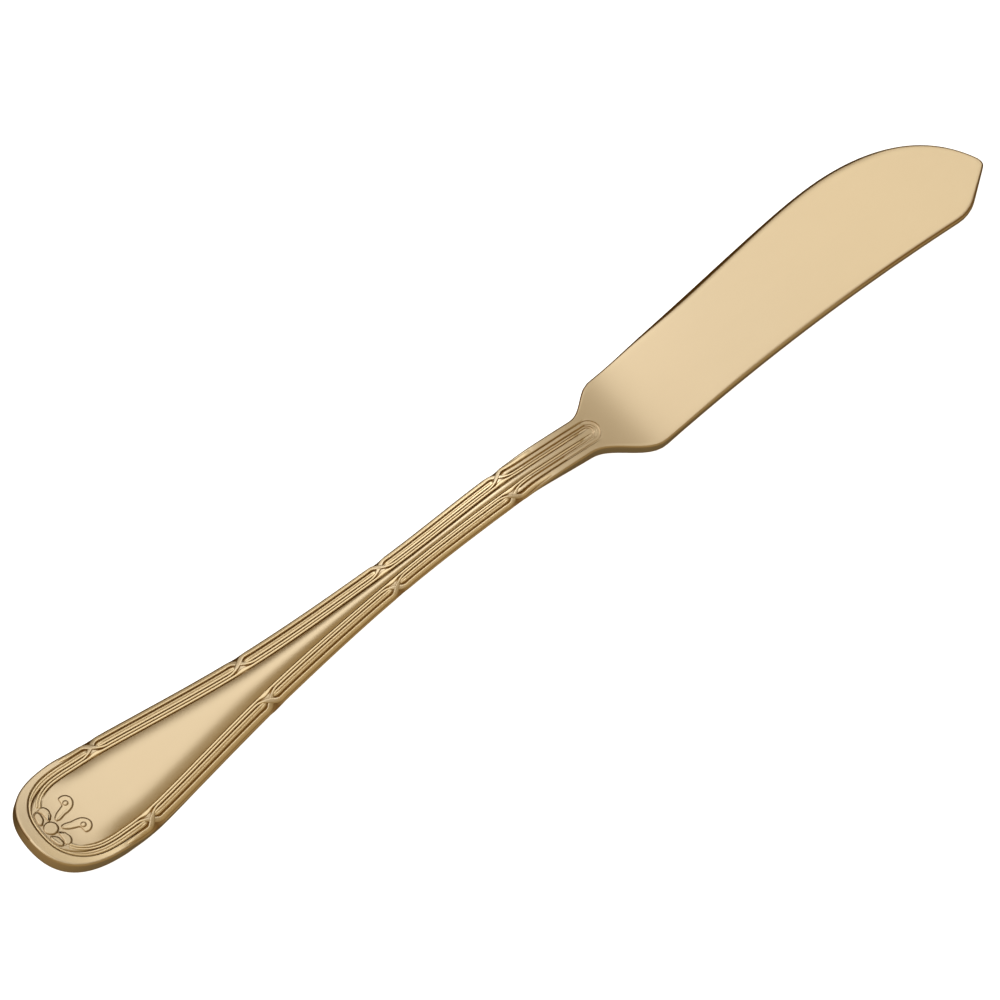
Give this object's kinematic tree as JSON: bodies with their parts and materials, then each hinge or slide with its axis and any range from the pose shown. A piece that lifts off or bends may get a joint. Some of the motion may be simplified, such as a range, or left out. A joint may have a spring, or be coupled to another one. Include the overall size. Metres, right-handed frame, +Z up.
{
  "type": "butter spreader",
  "caption": "Butter spreader with a broad blunt blade and a flat, turned-up handle edged with a reed and crossed ribbon border, in satin gold steel.",
  "frame": {"origin": "on the table under the middle of the spreader's box, with the spreader lying face up", "axes": "+X from the handle's end to the blade's tip, +Y towards the blade's convex back, +Z up out of the decorated face"},
  "size_m": [0.1714, 0.0194, 0.0058],
  "materials": {
    "satin_gold": "stainless steel with a thin gold coating, finely satin brushed"
  },
  "bodies": {
    "root": {"blade": "satin_gold", "handle": "satin_gold", "panel": "satin_gold", "end_rim": "satin_gold", "end_reed": "satin_gold", "left_ribbon": "satin_gold", "left_reed_1": "satin_gold", "left_reed_2": "satin_gold", "left_reed_3": "satin_gold", "left_rail": "satin_gold", "left_petal": "satin_gold", "left_scroll": "satin_gold", "right_ribbon": "satin_gold", "right_reed_1": "satin_gold", "right_reed_2": "satin_gold", "right_reed_3": "satin_gold", "right_rail": "satin_gold", "right_petal": "satin_gold", "right_scroll": "satin_gold", "neck_arch": "satin_gold", "neck_inner_arch": "satin_gold", "rosette_boss": "satin_gold"}
  },
  "joints": []
}
